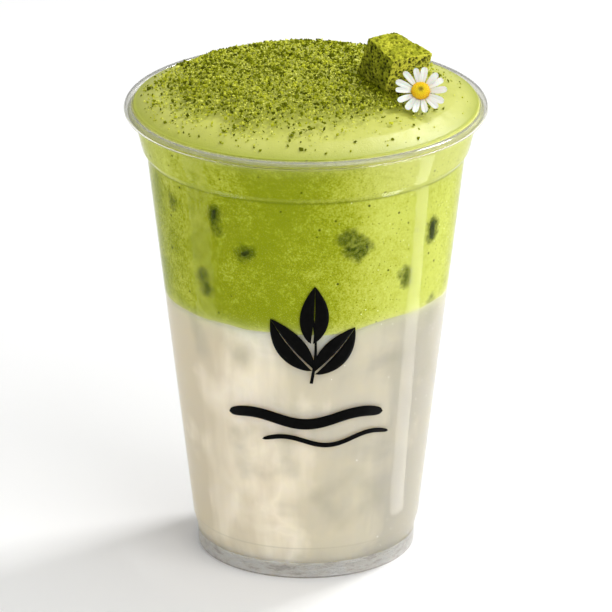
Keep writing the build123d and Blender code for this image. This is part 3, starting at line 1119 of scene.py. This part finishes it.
def petal_surface(length, width, rise, rng):
    """One petal along +X: grid points of its upper side, and how far along each lies."""
    rows, columns = 22, 11
    grid, along = [], []
    teeth = rng.uniform(0, 6)
    for i in range(rows):
        t = i / (rows - 1)
        half = width / 2 * (0.42 + 0.58 * math.sin(min(t / 0.62, 1) * math.pi / 2))
        half *= math.sqrt(max(0.0, 1 - max(0.0, (t - 0.72) / 0.28) ** 2.6)) * 0.97 + 0.03
        for j in range(columns):
            s = -1 + 2 * j / (columns - 1)
            tooth = 0.5 - 0.5 * math.cos(s * 2 * math.pi + 0.3 * math.sin(teeth))
            x = length * t - 0.05 * length * tooth * t ** 6
            groove = -0.05 * MM * math.cos(s * 2.5 * math.pi) * math.sin(t * math.pi) ** 0.5
            hollow = 0.16 * MM * s * s * math.sin(min(1, t * 1.2) * math.pi / 2)
            droop = math.tan(rise) * x - 0.30 * MM * t * t * t
            grid.append((x, half * s, droop + hollow + groove))
            along.append(t)
    return grid, along, rows, columns


def build_petals(place):
    rng = random.Random(5)
    vertices, faces, along = [], [], []
    for i in range(PETALS):
        rise = math.radians(14.0 - 4.0 * (i % 2) + rng.uniform(-2, 2))
        length = PETAL_LENGTH * rng.uniform(0.90, 1.0)
        width = PETAL_WIDTH * rng.uniform(0.88, 1.08)
        grid, share, rows, columns = petal_surface(length, width, rise, rng)
        turn = Matrix.Rotation(math.radians(360 / PETALS * i + rng.uniform(-4, 4)), 4, "Z")
        roll = Matrix.Rotation(rng.uniform(-0.15, 0.15), 4, "X")
        placed = place @ turn @ Matrix.Translation((PETAL_ROOT, 0, PETAL_STAGGER * (i % 2))) @ roll
        start = len(vertices)
        size = rows * columns
        for layer in (0.0, -PETAL_SHEET):
            vertices += [placed @ (Vector(p) + Vector((0, 0, layer))) for p in grid]
            along += share
        for quad in grid_quads(rows, columns, start):
            faces.append(quad)
            faces.append(tuple(v + size for v in quad[::-1]))
        # close the sheet along its rim: up one side, over the tip, down the other and back
        rim = [r * columns for r in range(rows)]
        rim += [(rows - 1) * columns + c for c in range(1, columns)]
        rim += [r * columns + columns - 1 for r in range(rows - 2, -1, -1)]
        rim += [c for c in range(columns - 2, 0, -1)]
        for a, b in zip(rim, rim[1:] + rim[:1]):
            faces.append((start + b, start + a, start + a + size, start + b + size))
    petals = mesh_object("daisy_ray_petals", vertices, faces, [petal_look()])
    set_attribute(petals, "along", along)
    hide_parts("daisy_petals")


def button_height(share):
    """Height of the button's dome at a share of its radius, with a dimple in the middle."""
    dimple = 0.20 * math.exp(-(share / 0.16) ** 2)
    return BUTTON_BASE + BUTTON_HEIGHT * (math.sqrt(max(0.0, 1 - share ** 2.4)) * 0.92 - dimple)


def build_button(place):
    """The yellow button: a low dome packed with florets in a sunflower spiral."""
    sunk = 0.12 * MM
    rows, segments = 14, 40
    rings = [(0, button_height(0) - sunk)]
    for i in range(1, rows + 1):
        share = i / rows
        rings.append((BUTTON_RADIUS * share * 0.97, button_height(share) - sunk))
    rings.append((0, BUTTON_BASE - 0.2 * MM))
    core, core_faces = turned_grid(rings, segments)
    vertices = [place @ Vector(p) for p in core]
    faces = [f[::-1] for f in core_faces]
    outward = [min(1.0, math.hypot(p[0], p[1]) / BUTTON_RADIUS) for p in core]
    shape, triangles = icosphere()
    for i in range(FLORETS):
        share = math.sqrt((i + 0.5) / FLORETS)
        angle = i * math.pi * (3 - math.sqrt(5))
        size = (0.14 + 0.08 * share) * MM
        across = BUTTON_RADIUS * 0.96 * share
        centre = Vector((across * math.cos(angle), across * math.sin(angle), button_height(share)))
        start = len(vertices)
        vertices += [place @ (centre + Vector(p) * size) for p in shape]
        faces += [tuple(start + k for k in f) for f in triangles]
        outward += [share] * len(shape)
    button = mesh_object("daisy_button", vertices, faces, [pollen_look()])
    set_attribute(button, "outward", outward)
    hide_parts("daisy_centre")


def icosphere():
    """Vertices and faces of a small round lump."""
    mesh = bpy.data.meshes.new("lump")
    shape = bmesh.new()
    bmesh.ops.create_icosphere(shape, subdivisions=2, radius=1.0)
    shape.to_mesh(mesh)
    shape.free()
    vertices = [tuple(v.co) for v in mesh.vertices]
    faces = [tuple(p.vertices) for p in mesh.polygons]
    bpy.data.meshes.remove(mesh)
    return vertices, faces


def build_calyx(place):
    """The green cup of small scales behind the petals, and the cut stem."""
    inverse = place.inverted()
    low = min((inverse @ v.co).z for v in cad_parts["daisy_calyx"].data.vertices)
    rings = [(0, 0)]
    for share in (0.6, 0.95, 1.0):
        rings.append((CALYX_RADIUS * share, -0.05 * MM * share))
    for i in range(1, 9):
        t = i / 8
        flare = (CALYX_RADIUS - STEM_RADIUS) * math.cos(t * math.pi / 2) ** 0.8
        rings.append((STEM_RADIUS + flare, -CALYX_HEIGHT * t))
    for i in range(1, 8):
        rings.append((STEM_RADIUS, -CALYX_HEIGHT + (low + CALYX_HEIGHT) * i / 7))
    rings.append((0, low))
    vertices, faces = turned_grid(rings, 24)
    scales = 1 + 0.05 * np.cos(np.arctan2(vertices[:, 1], vertices[:, 0]) * 8)
    vertices[:, :2] *= scales[:, None]
    placed = [place @ Vector(v) for v in vertices]
    calyx = mesh_object("daisy_back", placed, [f[::-1] for f in faces], [calyx_look()])
    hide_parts("daisy_calyx")


# ---- Print ----

def on_wall(across, height, stand):
    """Point on the outside of the wall, across measured along the wall from the front."""
    radius = wall_outside(height) + stand
    angle = across / radius
    return Vector((radius * math.sin(angle), -radius * math.cos(angle), height))


def ribbon(path, widths, vertices, faces):
    """Closed thin strip of ink on the wall along a path of (across, height) points."""
    columns = 5
    rows = []
    for k, (u, v) in enumerate(path):
        ahead = path[min(k + 1, len(path) - 1)]
        behind = path[max(k - 1, 0)]
        du, dv = ahead[0] - behind[0], ahead[1] - behind[1]
        length = math.hypot(du, dv)
        side = (-dv / length, du / length)
        row = []
        for stand in (INK_STAND + INK_SHEET / 2, INK_STAND - INK_SHEET / 2):
            for c in range(columns):
                s = (c / (columns - 1) - 0.5) * widths[k]
                row.append(len(vertices))
                vertices.append(on_wall(u + side[0] * s, v + side[1] * s, stand))
        rows.append(row)
    loop = list(range(columns)) + list(range(2 * columns - 1, columns - 1, -1))
    for a, b in zip(rows, rows[1:]):
        for p, q in zip(loop, loop[1:] + loop[:1]):
            faces.append((a[p], b[p], b[q], a[q]))
    faces.append(tuple(rows[0][p] for p in loop))
    faces.append(tuple(rows[-1][p] for p in loop[::-1]))


def leaf(base, tip, width, bend, vertices, faces):
    """Two half blades with a bare midrib between them."""
    steps = 24
    along = (tip[0] - base[0], tip[1] - base[1])
    length = math.hypot(*along)
    normal = (-along[1] / length, along[0] / length)
    for side in (-1, 1):
        path, widths = [], []
        for i in range(steps + 1):
            t = i / steps
            half = width / 2 * math.sin(math.pi * t ** 0.85) ** 0.9
            midrib = 0.55 * MM * (1 - t)
            middle = side * (midrib / 2 + half / 2)
            u = base[0] + along[0] * t + bend * math.sin(math.pi * t) + normal[0] * middle
            path.append((u, base[1] + along[1] * t + normal[1] * middle))
            widths.append(max(half, 0.06 * MM))
        ribbon(path, widths, vertices, faces)


def build_print():
    """A plain sprig of three leaves over two wavy stripes, in black."""
    vertices, faces = [], []
    shares = [i / 20 for i in range(21)]
    bow = [SPRIG_ACROSS + 1.2 * MM * math.sin(t * math.pi) for t in shares]
    stem = list(zip(bow, [SPRIG_FOOT + SPRIG_HEIGHT * t for t in shares]))
    ribbon(stem, [(0.9 - 0.4 * t) * MM for t in shares], vertices, faces)
    for base, tip, bend in LEAVES:
        ends = [(SPRIG_ACROSS + u * MM, SPRIG_FOOT + v * MM) for u, v in (base, tip)]
        leaf(*ends, LEAF_WIDTH, bend * MM, vertices, faces)
    shares = [i / 60 for i in range(61)]
    for height, width, left, right in STRIPES:
        path = [(left + (right - left) * t, height + 1.3 * math.sin(t * 3 * math.pi)) for t in shares]
        path = [(u * MM, v * MM) for u, v in path]
        # round ends
        widths = [width * MM * math.sqrt(max(0.002, 1 - abs(2 * t - 1) ** 12)) for t in shares]
        ribbon(path, widths, vertices, faces)
    mesh_object("cup_print", vertices, faces, [ink_look()])


# ---- Stage ----

def softbox(name, bearing, elevation, distance, size, power, height=LAMP_AIM, lights=True, shines=True):
    """A rectangular lamp of a (width, height) that faces a height on the cup's axis.

    One that lights nothing only shows in the cup's shine, and one may be left out of the shine."""
    lamp = bpy.data.lights.new(name, "AREA")
    lamp.shape = "RECTANGLE"
    lamp.size, lamp.size_y = size
    lamp.energy = power
    rise = math.radians(elevation)
    towards = bearing_vector(bearing) * math.cos(rise) + Vector((0, 0, math.sin(rise)))
    holder = scene_object(name, lamp)
    holder.location = Vector((0, 0, height)) + towards * distance
    aim(holder, -towards)
    holder.visible_camera = False
    holder.visible_diffuse = lights
    holder.visible_transmission = lights
    holder.visible_glossy = shines


def build_stage():
    mesh = bpy.data.meshes.new("floor")
    half = FLOOR_SIZE / 2
    corners = [(-half, -half, 0), (half, -half, 0), (half, half, 0), (-half, half, 0)]
    mesh.from_pydata(corners, [], [(0, 1, 2, 3)])
    mesh.materials.append(floor_look())
    floor = scene_object("floor", mesh)
    world = bpy.data.worlds.new("studio")
    world.use_nodes = True
    background = world.node_tree.nodes["Background"]
    background.inputs["Color"].default_value = (1, 1, 1, 1)
    background.inputs["Strength"].default_value = WORLD_STRENGTH
    bpy.context.scene.world = world
    bpy.context.scene.view_settings.view_transform = "Standard"
    softbox("top", 0, 88, 1.5, (1.5, 1.5), 6)
    softbox("key", 42, 40, 1.3, (1.0, 0.9), 6.5)
    softbox("back", 130, 48, 1.3, (0.3, 0.3), 9.5)
    softbox("left", -50, 8, 0.32, (0.22, 0.10), 0.13, 35 * MM, shines=False)
    # tall thin lamps close to the cup give it the bright strips at its sides
    strips = [("right_strip", 76.7, 0.016, 0.075), ("left_strip", -70, 0.026, 0.025)]
    for name, bearing, width, power in strips:
        softbox(name, bearing, -25, STRIP_DISTANCE, (width, 0.11), power, STRIP_AIM, lights=False)


def build_camera():
    rise = math.radians(CAMERA_ELEVATION)
    lens = bpy.data.cameras.new("camera")
    lens.lens = CAMERA_LENS
    lens.clip_end = CAMERA_REACH
    camera = scene_object("camera", lens)
    away, up = CAMERA_DISTANCE * math.cos(rise), CAMERA_DISTANCE * math.sin(rise)
    camera.location = (0, -away, CAMERA_PIVOT + up)
    aim(camera, Vector((0, 0, CAMERA_TARGET)) - camera.location)
    bpy.context.scene.camera = camera


build_stage()
build_camera()
build_cup()
build_milk()
build_foam()
build_ice()
build_powder()
build_cake()
daisy_place = daisy_frame()
build_petals(daisy_place)
build_button(daisy_place)
build_calyx(daisy_place)
build_print()
